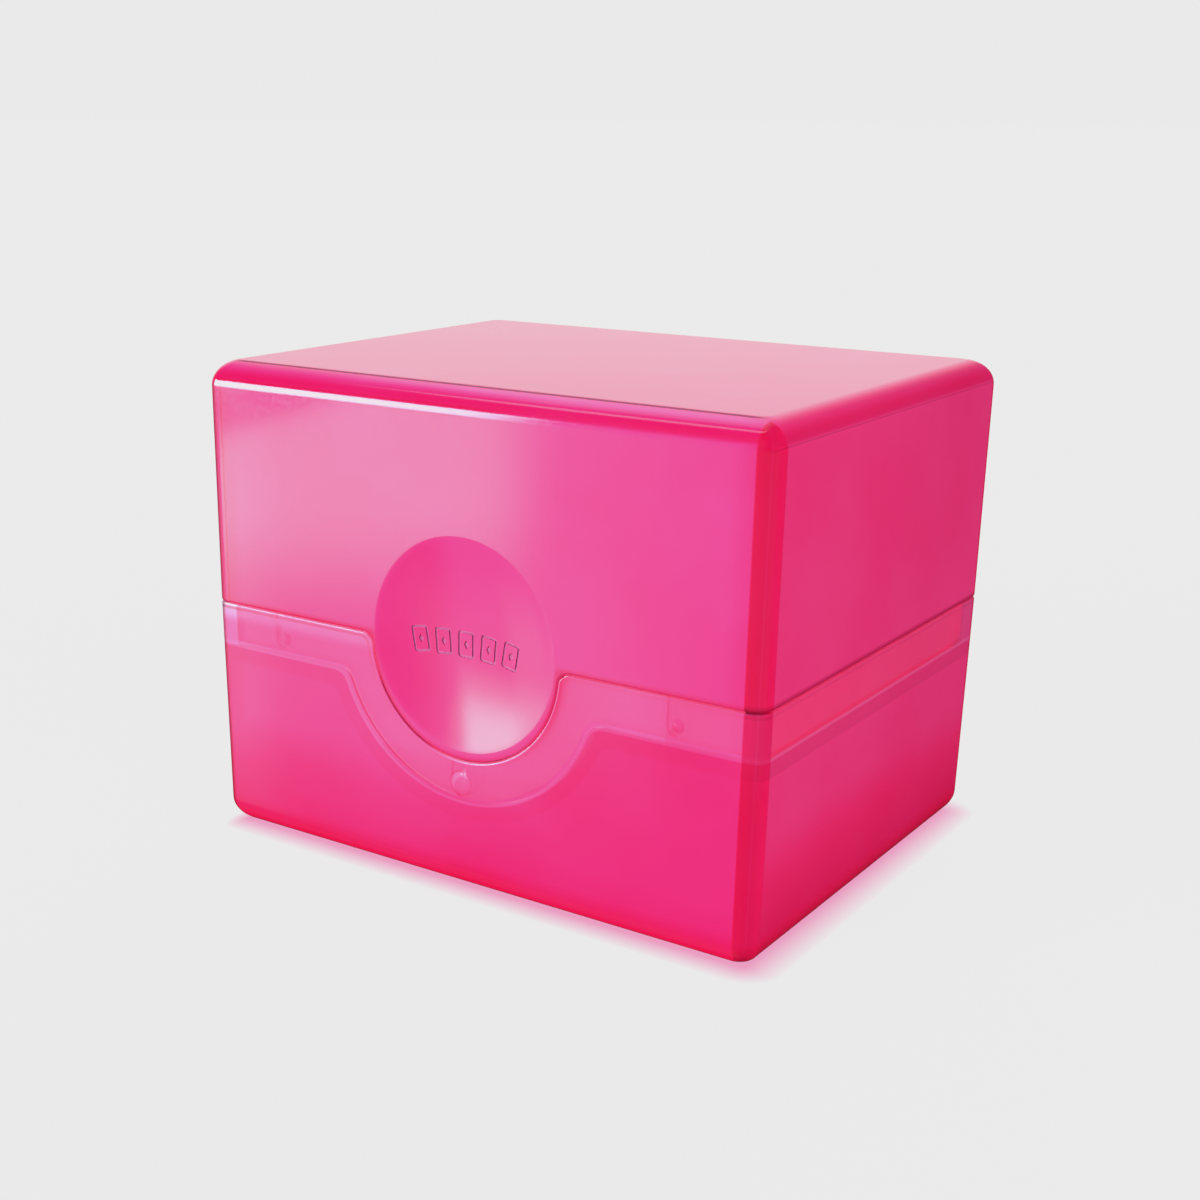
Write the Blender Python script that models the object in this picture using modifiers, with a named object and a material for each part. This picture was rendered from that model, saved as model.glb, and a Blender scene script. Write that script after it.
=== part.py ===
"""Two-piece card deck box: a base and a lift-off lid whose walls lap into each other.

Frame: metres, +Z up, origin at the centre of the underside. +X runs along the long side
and the front wall faces -Y. The box stands closed.
"""

import math

import bmesh
import bpy

# Driving dimensions, measured outside where base and lid meet.
LENGTH = 0.0995
DEPTH = 0.0770
HEIGHT = 0.0770
PARTING = 0.0384  # height of the line where base and lid meet
WALL = 0.0024
DRAFT = 0.0033  # how far a wall leans in for each unit of height away from the parting line
CORNER_RADIUS = 0.0025
TOP_ROUND = 0.0037
BOTTOM_ROUND = 0.0041
INNER_RADIUS = 0.0016

# The lap joint: the base's thin rim stands outside the lid's lip.
RIM = 0.0012
GAP = 0.0003
LIP_DROP = 0.0072  # the lip's lower edge, below the parting line
LEDGE_DROP = 0.0096  # the base's ledge under the lip
NOTCH_RADIUS = 0.0176  # half-round notch in the rim, about a point on the parting line
LIP_RADIUS = 0.0240
LEDGE_RADIUS = 0.0264
NOTCH_FILLET = 0.0020
LIP_FILLET = 0.0028

# The shallow round dish that a thumb or finger presses on.
DISH_RADIUS = 0.0164
DISH_RISE = 0.0009  # its centre, above the parting line
DISH_DEPTH = 0.0012

# Snap bumps on the lip: across, height, radius.
SNAPS = ((-0.0360, 0.0339, 0.0011), (0.0, 0.0175, 0.0019), (0.0360, 0.0339, 0.0011))
SNAP_HEIGHT = 0.00035
SNAP_SINK = 0.00005  # a bump's edge lies this far under the lip's face
SNAP_ROOT = 0.0004  # how deep a bump's base sits in the lip
GROOVE_DEPTH = 0.0004

CORNER_STEPS = 8
ROUND_STEPS = 8
OUTLINE_STEPS = 48
DISH_STEPS = 8
SCREW_STEPS = 64
SNAP_STEPS = 20

PINK = (0.83, 0.055, 0.26, 1.0)

CUTTER_REACH = 0.010  # how far a cutter runs past what it cuts


def clear_scene():
    for obj in list(bpy.data.objects):
        bpy.data.objects.remove(obj)


def new_collection(name):
    collection = bpy.data.collections.new(name)
    bpy.context.scene.collection.children.link(collection)
    return collection


def pink_plastic():
    material = bpy.data.materials.new("pink_plastic")
    material.use_nodes = True
    shader = material.node_tree.nodes["Principled BSDF"]
    shader.inputs["Base Color"].default_value = PINK
    shader.inputs["Roughness"].default_value = 0.22
    shader.inputs["Metallic"].default_value = 0.0
    return material


def add_object(name, mesh, collection):
    """Turns a bmesh into an object, with its faces pointing out."""
    bmesh.ops.recalc_face_normals(mesh, faces=mesh.faces)
    data = bpy.data.meshes.new(name)
    mesh.to_mesh(data)
    mesh.free()
    obj = bpy.data.objects.new(name, data)
    collection.objects.link(obj)
    return obj


def as_cutter(obj):
    obj.hide_render = True
    obj.display_type = "WIRE"
    return obj


def combine(target, operation, other):
    modifier = target.modifiers.new(other.name, "BOOLEAN")
    modifier.operation = operation
    modifier.solver = "EXACT"
    modifier.object = other


def arc(centre, radius, start, end, steps):
    """Points on an arc from the angle start to the angle end, both in radians."""
    angles = [start + (end - start) * step / steps for step in range(steps + 1)]
    return [
        (centre[0] + radius * math.cos(angle), centre[1] + radius * math.sin(angle))
        for angle in angles
    ]


def rounded_ring(half_x, half_y, radius, z):
    """A rounded rectangle at height z, as points."""
    points = []
    for quadrant, (side_x, side_y) in enumerate(((1, 1), (-1, 1), (-1, -1), (1, -1))):
        centre = (side_x * (half_x - radius), side_y * (half_y - radius))
        start = math.pi / 2 * quadrant
        points += arc(centre, radius, start, start + math.pi / 2, CORNER_STEPS)
    return [(x, y, z) for x, y in points]


def outer_ring(z, inset=0.0, radius=CORNER_RADIUS):
    """The outside of the box at height z, moved in by inset."""
    lean = DRAFT * abs(z - PARTING)
    return rounded_ring(LENGTH / 2 - lean - inset, DEPTH / 2 - lean - inset, radius, z)


def inner_ring(z, inset=0.0):
    """The card space at height z. Its walls are upright, so lip and base lie flush."""
    radius = INNER_RADIUS + inset * 0.5
    return rounded_ring(LENGTH / 2 - WALL - inset, DEPTH / 2 - WALL - inset, radius, z)


def rounding(radius, steps):
    """(inset, rise) pairs up a quarter round, from the wall to the flat it runs into."""
    angles = [math.pi / 2 * step / steps for step in range(steps + 1)]
    return [(radius * (1 - math.cos(angle)), radius * math.sin(angle)) for angle in angles]


def skin(name, rings, collection):
    """A closed solid through rings with equal numbers of points, capped at both ends."""
    mesh = bmesh.new()
    loops = [[mesh.verts.new(point) for point in ring] for ring in rings]
    for lower, upper in zip(loops, loops[1:]):
        for i, vertex in enumerate(lower):
            j = (i + 1) % len(lower)
            mesh.faces.new((vertex, lower[j], upper[j], upper[i]))
    mesh.faces.new(loops[0])
    mesh.faces.new(loops[-1])
    return add_object(name, mesh, collection)


def lap_outline(level, radius, fillet):
    """XZ points of a lap line: level, with a round dip about the middle, then closed above."""
    fillet_z = level - fillet
    fillet_x = math.sqrt((radius + fillet) ** 2 - (PARTING - fillet_z) ** 2)
    dip_start = math.atan2(fillet_z - PARTING, fillet_x)
    fillet_start = math.atan2(PARTING - fillet_z, -fillet_x)
    right = arc((fillet_x, fillet_z), fillet, fillet_start, math.pi / 2, ROUND_STEPS)
    left = [(-x, z) for x, z in reversed(right)]
    dip = arc((0, PARTING), radius, -math.pi - dip_start, dip_start, OUTLINE_STEPS)
    far = LENGTH / 2 + CUTTER_REACH
    top = HEIGHT + CUTTER_REACH
    return [(-far, top), (-far, level)] + left + dip[1:-1] + right + [(far, level), (far, top)]


def above_lap(name, level, radius, fillet, collection):
    """The solid space above a lap line, through the whole depth of the box."""
    outline = lap_outline(level, radius, fillet)
    reach = DEPTH / 2 + CUTTER_REACH
    rings = [[(x, y, z) for x, z in outline] for y in (-reach, reach)]
    return as_cutter(skin(name, rings, collection))


def turned(name, profile, steps, facing, collection):
    """A turned cutter: (radius, height) points, its height pointing out of the wall it faces."""
    mesh = bmesh.new()
    vertices = [mesh.verts.new((radius, 0, height)) for radius, height in profile]
    for upper, lower in zip(vertices, vertices[1:]):
        mesh.edges.new((upper, lower))
    data = bpy.data.meshes.new(name)
    mesh.to_mesh(data)
    mesh.free()
    obj = bpy.data.objects.new(name, data)
    collection.objects.link(obj)
    screw = obj.modifiers.new("turn", "SCREW")
    screw.steps = steps
    screw.render_steps = steps
    screw.use_merge_vertices = True
    screw.merge_threshold = 0.00001
    obj.rotation_euler = (-facing * math.pi / 2, 0, 0)
    return as_cutter(obj)


def cap_profile(radius, depth, steps):
    """(radius, height) points down a spherical cap, from its rim to its deepest point."""
    sphere = (radius**2 + depth**2) / (2 * depth)
    widths = [radius * (1 - step / steps) for step in range(steps + 1)]
    return [(r, sphere - depth - math.sqrt(sphere**2 - r**2)) for r in widths]


def make_base(parts, cutters):
    """The lower shell: floor, walls, thin rim with a half-round notch front and back."""
    foot = rounding(BOTTOM_ROUND, ROUND_STEPS)
    rings = [foot_ring(inset, BOTTOM_ROUND - rise) for inset, rise in reversed(foot)]
    rings.append(outer_ring(PARTING))
    base = skin("base", rings, parts)

    floor_round = rounding(INNER_RADIUS, ROUND_STEPS)
    space = [inner_ring(WALL + INNER_RADIUS - rise, inset) for inset, rise in reversed(floor_round)]
    space.append(inner_ring(PARTING + CUTTER_REACH))
    combine(base, "DIFFERENCE", as_cutter(skin("base_card_space", space, cutters)))

    rebate = skin("base_rebate", lap_body(RIM), cutters)
    ledge = above_lap("above_ledge", PARTING - LEDGE_DROP, LEDGE_RADIUS, LIP_FILLET, cutters)
    combine(rebate, "INTERSECT", ledge)
    combine(base, "DIFFERENCE", as_cutter(rebate))

    rim = above_lap("above_rim", PARTING - GAP / 2, NOTCH_RADIUS, NOTCH_FILLET, cutters)
    combine(base, "DIFFERENCE", rim)
    for facing in (-1, 1):
        for number, (x, z, radius) in enumerate(SNAPS):
            name = f"groove_{number}_{'front' if facing < 0 else 'back'}"
            combine(base, "DIFFERENCE", groove(name, x, z, radius + GAP, facing, cutters))
    return base


def foot_ring(inset, z):
    """A ring of the outer bottom round, whose corners tighten as it runs under the floor."""
    share = inset / BOTTOM_ROUND
    return outer_ring(z, inset, CORNER_RADIUS * (1 - 0.4 * share))


def crown_ring(inset, z):
    """A ring of the lid's top round."""
    share = inset / TOP_ROUND
    return outer_ring(z, inset, CORNER_RADIUS * (1 - 0.4 * share))


def lap_body(inset):
    """Rings of the full block that the lip, or the rebate around it, is cut from."""
    low = PARTING - LEDGE_RADIUS - CUTTER_REACH
    return [outer_ring(z, inset, CORNER_RADIUS - inset / 2) for z in (low, PARTING, PARTING + 0.004)]


def groove(name, x, z, radius, facing, cutters):
    """A shallow slot inside the rim, from a snap bump up to the rim's edge."""
    inside = DEPTH / 2 - DRAFT * (PARTING - z) - RIM
    points = arc((x, z), radius, -math.pi, 0, SNAP_STEPS)
    points += [(x + radius, PARTING + CUTTER_REACH), (x - radius, PARTING + CUTTER_REACH)]
    depths = (inside - RIM, inside + GROOVE_DEPTH)
    rings = [[(px, facing * depth, pz) for px, pz in points] for depth in depths]
    return as_cutter(skin(name, rings, cutters))


def make_lid(parts, cutters):
    """The upper shell: flat top, walls, tongues front and back, and the lip inside the rim."""
    crown = rounding(TOP_ROUND, ROUND_STEPS)
    rings = [outer_ring(PARTING - LEDGE_RADIUS), outer_ring(PARTING)]
    rings += [crown_ring(inset, HEIGHT - TOP_ROUND + rise) for inset, rise in crown]
    lid = skin("lid", rings, parts)
    tongue = NOTCH_RADIUS - GAP
    edge = above_lap("above_lid_edge", PARTING + GAP / 2, tongue, NOTCH_FILLET + GAP, cutters)
    combine(lid, "INTERSECT", edge)

    lip = as_cutter(skin("lip", lap_body(RIM + GAP), cutters))
    lip_edge = above_lap("above_lip_edge", PARTING - LIP_DROP, LIP_RADIUS, LIP_FILLET, cutters)
    combine(lip, "INTERSECT", lip_edge)
    combine(lid, "UNION", lip)

    ceiling = rounding(INNER_RADIUS, ROUND_STEPS)
    space = [inner_ring(PARTING - LEDGE_RADIUS - 2 * CUTTER_REACH)]
    space += [inner_ring(HEIGHT - WALL - INNER_RADIUS + rise, inset) for inset, rise in ceiling]
    combine(lid, "DIFFERENCE", as_cutter(skin("lid_card_space", space, cutters)))
    for facing in (-1, 1):
        side = "front" if facing < 0 else "back"
        combine(lid, "DIFFERENCE", dish(f"dish_{side}", facing, cutters))
        for number, (x, z, radius) in enumerate(SNAPS):
            combine(lid, "UNION", snap(f"snap_{number}_{side}", x, z, radius, facing, cutters))
    return lid


def dish(name, facing, cutters):
    """The round hollow in a tongue."""
    centre_z = PARTING + DISH_RISE
    profile = [(0, CUTTER_REACH), (DISH_RADIUS, CUTTER_REACH)]
    profile += cap_profile(DISH_RADIUS, DISH_DEPTH, DISH_STEPS)
    obj = turned(name, profile, SCREW_STEPS, facing, cutters)
    obj.location = (0, facing * (DEPTH / 2 - DRAFT * DISH_RISE), centre_z)
    return obj


def snap(name, x, z, radius, facing, cutters):
    """A low dome on the lip's outer face, with its root inside the lip."""
    height = SNAP_HEIGHT + SNAP_SINK
    dome = [(r, -drop) for r, drop in cap_profile(radius, height, DISH_STEPS // 2)]
    profile = dome[::-1] + [(radius, -SNAP_ROOT), (0, -SNAP_ROOT)]
    obj = turned(name, profile, SNAP_STEPS, facing, cutters)
    face = DEPTH / 2 - DRAFT * (PARTING - z) - RIM - GAP
    obj.location = (x, facing * (face - SNAP_SINK), z)
    return obj


def shade(obj, material):
    obj.data.materials.append(material)
    obj.data.shade_smooth()
    obj.data.set_sharp_from_angle(angle=math.radians(35))


def main():
    clear_scene()
    parts = new_collection("card_deck_box")
    cutters = new_collection("cutters")
    material = pink_plastic()
    for piece in (make_base(parts, cutters), make_lid(parts, cutters)):
        shade(piece, material)


main()
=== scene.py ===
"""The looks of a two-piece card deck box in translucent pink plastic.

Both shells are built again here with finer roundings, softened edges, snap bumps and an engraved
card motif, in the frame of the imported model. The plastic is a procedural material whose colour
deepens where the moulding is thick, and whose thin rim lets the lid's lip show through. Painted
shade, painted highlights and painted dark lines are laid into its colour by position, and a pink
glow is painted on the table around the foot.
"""

import math

import bmesh
import bpy
from mathutils import Matrix, Vector


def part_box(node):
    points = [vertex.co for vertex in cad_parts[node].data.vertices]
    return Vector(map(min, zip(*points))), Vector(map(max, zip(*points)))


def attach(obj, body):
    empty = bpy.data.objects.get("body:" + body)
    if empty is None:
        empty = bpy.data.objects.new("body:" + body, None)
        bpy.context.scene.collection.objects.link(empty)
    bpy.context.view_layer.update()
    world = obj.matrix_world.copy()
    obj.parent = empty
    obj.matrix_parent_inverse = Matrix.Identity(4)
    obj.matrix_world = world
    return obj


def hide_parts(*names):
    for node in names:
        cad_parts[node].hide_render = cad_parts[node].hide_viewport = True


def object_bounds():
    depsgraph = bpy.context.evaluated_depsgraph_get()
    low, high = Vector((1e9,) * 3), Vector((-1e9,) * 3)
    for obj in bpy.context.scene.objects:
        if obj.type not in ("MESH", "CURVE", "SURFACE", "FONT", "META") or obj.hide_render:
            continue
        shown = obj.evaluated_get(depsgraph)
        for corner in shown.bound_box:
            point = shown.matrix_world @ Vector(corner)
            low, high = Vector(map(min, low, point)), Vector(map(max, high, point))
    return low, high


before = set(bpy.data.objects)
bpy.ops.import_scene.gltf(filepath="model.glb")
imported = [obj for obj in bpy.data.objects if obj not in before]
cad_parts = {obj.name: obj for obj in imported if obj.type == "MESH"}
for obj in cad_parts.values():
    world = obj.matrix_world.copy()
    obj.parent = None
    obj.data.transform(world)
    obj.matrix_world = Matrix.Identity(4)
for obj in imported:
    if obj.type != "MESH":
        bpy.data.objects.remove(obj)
cad_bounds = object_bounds()

MM = 0.001

# The box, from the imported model.
HALF_X, HALF_Y, HEIGHT = cad_bounds[1]
CAD_GAP = 0.3 * MM
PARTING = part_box("base")[1].z + CAD_GAP / 2

WALL = 2.4 * MM
DRAFT = 0.0033
CORNER_RADIUS = 2.5 * MM
TOP_ROUND = 3.95 * MM
BOTTOM_ROUND = 4.1 * MM
CORNER_PINCH = 0.4  # the share of a corner's radius that is lost over a rounding
INNER_RADIUS = 1.6 * MM

# The lap joint. The base's thin rim stands outside the lid's lip.
RIM = 1.2 * MM
LAP_GAP = 0.3 * MM
SEAM = 0.14 * MM  # the open line between the two shells
LIP_DROP = 7.2 * MM
LEDGE_DROP = 9.6 * MM
NOTCH_RADIUS = 17.15 * MM
LIP_RADIUS = 24.0 * MM
LEDGE_RADIUS = 26.4 * MM
NOTCH_FILLET = 2.0 * MM
LIP_FILLET = 2.8 * MM

DISH_RADIUS = 16.4 * MM
DISH_RISE = 0.9 * MM
DISH_DEPTH = 1.2 * MM
DISH_EASE = 0.12 * MM
DISH_SPHERE = (DISH_RADIUS**2 + DISH_DEPTH**2) / (2 * DISH_DEPTH)

# Snap bumps on the lip: across, height, radius.
SNAPS = (
    (-36.0 * MM, 33.9 * MM, 1.1 * MM),
    (0.0, 17.4 * MM, 2.2 * MM),
    (36.0 * MM, 33.9 * MM, 1.1 * MM),
)
SNAP_HEIGHT = 0.5 * MM
SNAP_SINK = 0.05 * MM
SNAP_ROOT = 0.4 * MM
GROOVE_DEPTH = 0.5 * MM

# Softened edges.
LID_EDGE = 0.38 * MM
RIM_EDGE = 0.22 * MM
LIP_EDGE = 0.30 * MM
ON_FACE = 0.03 * MM  # how near a face a point on it may be
SHARP = math.radians(2.5)  # edges that turn more than this are softened
CREASE = math.radians(32)  # edges that turn more than this stay crisp

# The engraved motif: a row of playing-card outlines, each with a diamond in it.
CARDS = 5
CARD_STEP = 4.1 * MM
CARD_TILT = math.radians(5)
CARD_SAG = 0.08 * MM
CARD_HALF = (1.5 * MM, 2.1 * MM)
CARD_CORNER = 0.55 * MM
CARD_LINE = 0.46 * MM
PIP_HALF = (0.48 * MM, 0.75 * MM)
ENGRAVING = 0.22 * MM

CORNER_STEPS = 14
ROUND_STEPS = 12
FILLET_STEPS = 12
DIP_STEPS = 96
DISH_STEPS = 14
TURN_STEPS = 128
SNAP_STEPS = 40
SNAP_RINGS = 8

REACH = 10 * MM  # how far a cutter runs past what it cuts
MERGE = 0.001 * MM  # points nearer than this are one point


# ---------------------------------------------------------------- geometry


def arc(centre, radius, start, end, steps):
    angles = [start + (end - start) * step / steps for step in range(steps + 1)]
    return [
        (centre[0] + radius * math.cos(angle), centre[1] + radius * math.sin(angle))
        for angle in angles
    ]


def rounded_outline(half_x, half_y, radius, steps):
    """A rounded rectangle about the origin, anticlockwise, as flat points."""
    points = []
    for quadrant, (side_x, side_y) in enumerate(((1, 1), (-1, 1), (-1, -1), (1, -1))):
        centre = (side_x * (half_x - radius), side_y * (half_y - radius))
        start = math.pi / 2 * quadrant
        points += arc(centre, radius, start, start + math.pi / 2, steps)
    return points


def outer_ring(z, inset=0.0, radius=CORNER_RADIUS):
    lean = DRAFT * abs(z - PARTING) + inset
    outline = rounded_outline(HALF_X - lean, HALF_Y - lean, radius, CORNER_STEPS)
    return [(x, y, z) for x, y in outline]


def inner_ring(z, inset=0.0):
    outline = rounded_outline(
        HALF_X - WALL - inset, HALF_Y - WALL - inset, INNER_RADIUS + inset / 2, CORNER_STEPS
    )
    return [(x, y, z) for x, y in outline]


def rounding(radius):
    """(inset, rise) pairs up a quarter round, from the wall to the flat it runs into."""
    angles = [math.pi / 2 * step / ROUND_STEPS for step in range(ROUND_STEPS + 1)]
    return [(radius * (1 - math.cos(angle)), radius * math.sin(angle)) for angle in angles]


def rounded_ring(inset, z, radius):
    """A ring of an outer rounding, whose corners tighten as it runs onto the flat."""
    return outer_ring(z, inset, CORNER_RADIUS * (1 - CORNER_PINCH * inset / radius))


def new_object(name, mesh):
    """Turns a bmesh into an object, with its faces pointing out."""
    bmesh.ops.recalc_face_normals(mesh, faces=mesh.faces)
    data = bpy.data.meshes.new(name)
    mesh.to_mesh(data)
    mesh.free()
    obj = bpy.data.objects.new(name, data)
    bpy.context.scene.collection.objects.link(obj)
    return obj


def skin(name, rings, ring_round=False):
    """A solid through rings with equal numbers of points: capped, or closed on itself."""
    mesh = bmesh.new()
    loops = [[mesh.verts.new(point) for point in ring] for ring in rings]
    pairs = list(zip(loops, loops[1:]))
    if ring_round:
        pairs.append((loops[-1], loops[0]))
    else:
        mesh.faces.new(loops[0])
        mesh.faces.new(loops[-1])
    for lower, upper in pairs:
        for i, vertex in enumerate(lower):
            j = (i + 1) % len(lower)
            mesh.faces.new((vertex, lower[j], upper[j], upper[i]))
    return new_object(name, mesh)


def turned(name, profile, steps, facing, place):
    """A solid of revolution about Y from (radius, height) points, height facing out."""
    rings = []
    for step in range(steps):
        angle = 2 * math.pi * (step + 0.5) / steps
        rings.append([
            (place[0] + r * math.cos(angle), place[1] + facing * h, place[2] + r * math.sin(angle))
            for r, h in profile
        ])
    obj = skin(name, rings, ring_round=True)
    mesh = bmesh.new()
    mesh.from_mesh(obj.data)
    bmesh.ops.remove_doubles(mesh, verts=mesh.verts, dist=MERGE)
    bmesh.ops.dissolve_degenerate(mesh, edges=mesh.edges, dist=MERGE)
    bmesh.ops.recalc_face_normals(mesh, faces=mesh.faces)
    mesh.to_mesh(obj.data)
    mesh.free()
    return obj


def combine(target, operation, *others, material_mode="INDEX"):
    """Applies one Boolean after another, and removes the tools."""
    for other in others:
        modifier = target.modifiers.new(other.name, "BOOLEAN")
        modifier.operation = operation
        modifier.solver = "EXACT"
        modifier.object = other
        modifier.material_mode = material_mode
    apply_modifiers(target)
    for other in others:
        bpy.data.objects.remove(other)


def apply_modifiers(obj):
    bpy.context.view_layer.update()
    evaluated = obj.evaluated_get(bpy.context.evaluated_depsgraph_get())
    data = bpy.data.meshes.new_from_object(evaluated)
    obj.modifiers.clear()
    obj.data = data


def lap_outline(level, radius, fillet):
    """XZ points of a lap line: level, with a round dip about the middle, then closed above."""
    fillet_z = level - fillet
    fillet_x = math.sqrt((radius + fillet) ** 2 - (PARTING - fillet_z) ** 2)
    dip_start = math.atan2(fillet_z - PARTING, fillet_x)
    fillet_start = math.atan2(PARTING - fillet_z, -fillet_x)
    right = arc((fillet_x, fillet_z), fillet, fillet_start, math.pi / 2, FILLET_STEPS)
    left = [(-x, z) for x, z in reversed(right)]
    dip = arc((0, PARTING), radius, -math.pi - dip_start, dip_start, DIP_STEPS)
    far = HALF_X + REACH
    top = HEIGHT + REACH
    return [(-far, top), (-far, level)] + left + dip[1:-1] + right + [(far, level), (far, top)]


def above_lap(name, level, radius, fillet):
    """The solid space above a lap line, through the whole depth of the box."""
    outline = lap_outline(level, radius, fillet)
    reach = HALF_Y + REACH
    return skin(name, [[(x, y, z) for x, z in outline] for y in (-reach, reach)])


def lap_body(inset):
    """Rings for a solid set in from the outer wall, from below the lap to just above it."""
    low = PARTING - LEDGE_RADIUS - REACH
    radius = CORNER_RADIUS - inset / 2
    return [outer_ring(z, inset, radius) for z in (low, PARTING, PARTING + 4 * MM)]


def wall_y(z):
    """Where the front or back wall's outer face is, from the middle."""
    return HALF_Y - DRAFT * abs(z - PARTING)


def groove(x, z, radius, facing):
    """A shallow slot inside the rim, from a snap bump up to the rim's edge."""
    inside = wall_y(z) - RIM
    points = arc((x, z), radius, -math.pi, 0, SNAP_STEPS // 2)
    points += [(x + radius, PARTING + REACH), (x - radius, PARTING + REACH)]
    depths = (inside - RIM, inside + GROOVE_DEPTH)
    return skin("groove", [[(px, facing * y, pz) for px, pz in points] for y in depths])


def make_base():
    foot = rounding(BOTTOM_ROUND)
    rings = [
        rounded_ring(inset, BOTTOM_ROUND - rise, BOTTOM_ROUND) for inset, rise in reversed(foot)
    ]
    base = skin("base_shell", rings + [outer_ring(PARTING)])

    floor_round = rounding(INNER_RADIUS)
    space = [
        inner_ring(WALL + INNER_RADIUS - rise, inset) for inset, rise in reversed(floor_round)
    ]
    combine(base, "DIFFERENCE", skin("card_space", space + [inner_ring(PARTING + REACH)]))

    rebate = skin("rebate", lap_body(RIM))
    combine(
        rebate, "INTERSECT",
        above_lap("above_ledge", PARTING - LEDGE_DROP, LEDGE_RADIUS, LIP_FILLET),
    )
    combine(base, "DIFFERENCE", rebate)
    combine(
        base, "DIFFERENCE", above_lap("above_rim", PARTING - SEAM / 2, NOTCH_RADIUS, NOTCH_FILLET)
    )
    grooves = [
        groove(x, z, radius + LAP_GAP, facing) for facing in (-1, 1) for x, z, radius in SNAPS
    ]
    combine(base, "DIFFERENCE", *grooves)
    return base


def make_lid():
    crown = rounding(TOP_ROUND)
    rings = [outer_ring(PARTING - LEDGE_RADIUS), outer_ring(PARTING)]
    rings += [
        rounded_ring(inset, HEIGHT - TOP_ROUND + rise, TOP_ROUND) for inset, rise in crown
    ]
    lid = skin("lid_shell", rings)
    combine(
        lid, "INTERSECT",
        above_lap("above_edge", PARTING + SEAM / 2, NOTCH_RADIUS - SEAM, NOTCH_FILLET + SEAM),
    )
    lip = skin("lip", lap_body(RIM + LAP_GAP))
    combine(
        lip, "INTERSECT", above_lap("above_lip", PARTING - LIP_DROP, LIP_RADIUS, LIP_FILLET)
    )
    combine(lid, "UNION", lip)

    ceiling = rounding(INNER_RADIUS)
    space = [inner_ring(PARTING - LEDGE_RADIUS - 2 * REACH)]
    space += [inner_ring(HEIGHT - WALL - INNER_RADIUS + rise, inset) for inset, rise in ceiling]
    combine(lid, "DIFFERENCE", skin("card_space", space))

    for facing in (-1, 1):
        combine(lid, "DIFFERENCE", dish(facing))
        combine(lid, "UNION", *[snap(x, z, radius, facing) for x, z, radius in SNAPS])
    return lid


def dish_depth(x, z):
    """How far the dish lies under the wall's face, at x and z from its centre."""
    return DISH_DEPTH - DISH_SPHERE + math.sqrt(DISH_SPHERE**2 - x**2 - z**2)


def dish_place(facing):
    return Vector((0, facing * wall_y(PARTING + DISH_RISE), PARTING + DISH_RISE))


def dish(facing):
    """A round, shallow cutter with a slightly eased edge, laid along the wall's draft."""
    inner = DISH_RADIUS - 2 * DISH_EASE
    outer = DISH_RADIUS + DISH_EASE
    radii = [inner * (1 - step / DISH_STEPS) for step in range(DISH_STEPS + 1)]
    profile = [(0, REACH), (outer, REACH), (outer, 0.004 * MM)]
    profile += [(DISH_RADIUS, -0.006 * MM)] + [(r, -dish_depth(r, 0)) for r in radii]
    place = dish_place(facing)
    cutter = turned("dish", profile, TURN_STEPS, facing, place)
    for vertex in cutter.data.vertices:
        vertex.co.y += facing * (wall_y(vertex.co.z) - wall_y(place.z))
    return cutter


def snap(x, z, radius, facing):
    """A low dome on the lip's outer face, with its root inside the lip."""
    height = SNAP_HEIGHT + SNAP_SINK
    sphere = (radius**2 + height**2) / (2 * height)
    radii = [radius * step / SNAP_RINGS for step in range(SNAP_RINGS + 1)]
    profile = [(r, height - sphere + math.sqrt(sphere**2 - r**2)) for r in radii]
    profile += [(radius, -SNAP_ROOT), (0, -SNAP_ROOT)]
    face = wall_y(z) - RIM - LAP_GAP - SNAP_SINK
    return turned("snap", profile, SNAP_STEPS, facing, Vector((x, facing * face, z)))


def placed(points, across, rise, tilt):
    """Flat points turned by tilt and moved to across and rise."""
    cos, sin = math.cos(tilt), math.sin(tilt)
    return [(across + x * cos - z * sin, rise + x * sin + z * cos) for x, z in points]


def engraved(outline, hole=None):
    """A cutter through flat points in the dish, a little deeper than its face."""
    place = dish_place(-1)

    def ring(points, under):
        return [
            (x, dish_depth(x, z) + under - wall_y(place.z + z), place.z + z)
            for x, z in points
        ]

    above = -3 * ENGRAVING
    if hole is None:
        return skin("engraved", [ring(outline, above), ring(outline, ENGRAVING)])
    rings = [
        ring(outline, above),
        ring(outline, ENGRAVING),
        ring(hole, ENGRAVING),
        ring(hole, above),
    ]
    return skin("engraved", rings, ring_round=True)


def motif():
    """Cutters for a symmetric row of card outlines, fanned a little."""
    cutters = []
    pip = [(PIP_HALF[0], 0), (0, PIP_HALF[1]), (-PIP_HALF[0], 0), (0, -PIP_HALF[1])]
    for number in range(CARDS):
        side = number - (CARDS - 1) / 2
        where = (side * CARD_STEP, -CARD_SAG * side**2, -side * CARD_TILT)
        outline = rounded_outline(CARD_HALF[0], CARD_HALF[1], CARD_CORNER, 4)
        hole = rounded_outline(
            CARD_HALF[0] - CARD_LINE, CARD_HALF[1] - CARD_LINE, CARD_CORNER - CARD_LINE, 4
        )
        cutters.append(engraved(placed(outline, *where), placed(hole, *where)))
        cutters.append(engraved(placed(pip, *where)))
    return cutters


def under_wall(point):
    """Distance from the outer wall, negative inside the box."""
    lean = DRAFT * abs(point.z - PARTING)
    across = abs(point.x) - (HALF_X - lean - CORNER_RADIUS)
    along = abs(point.y) - (HALF_Y - lean - CORNER_RADIUS)
    outside = math.hypot(max(across, 0), max(along, 0))
    return outside + min(max(across, along), 0) - CORNER_RADIUS


def from_dish(point):
    return math.hypot(point.x, point.z - PARTING - DISH_RISE)


def on_wall(point):
    return abs(under_wall(point)) < ON_FACE


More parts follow.
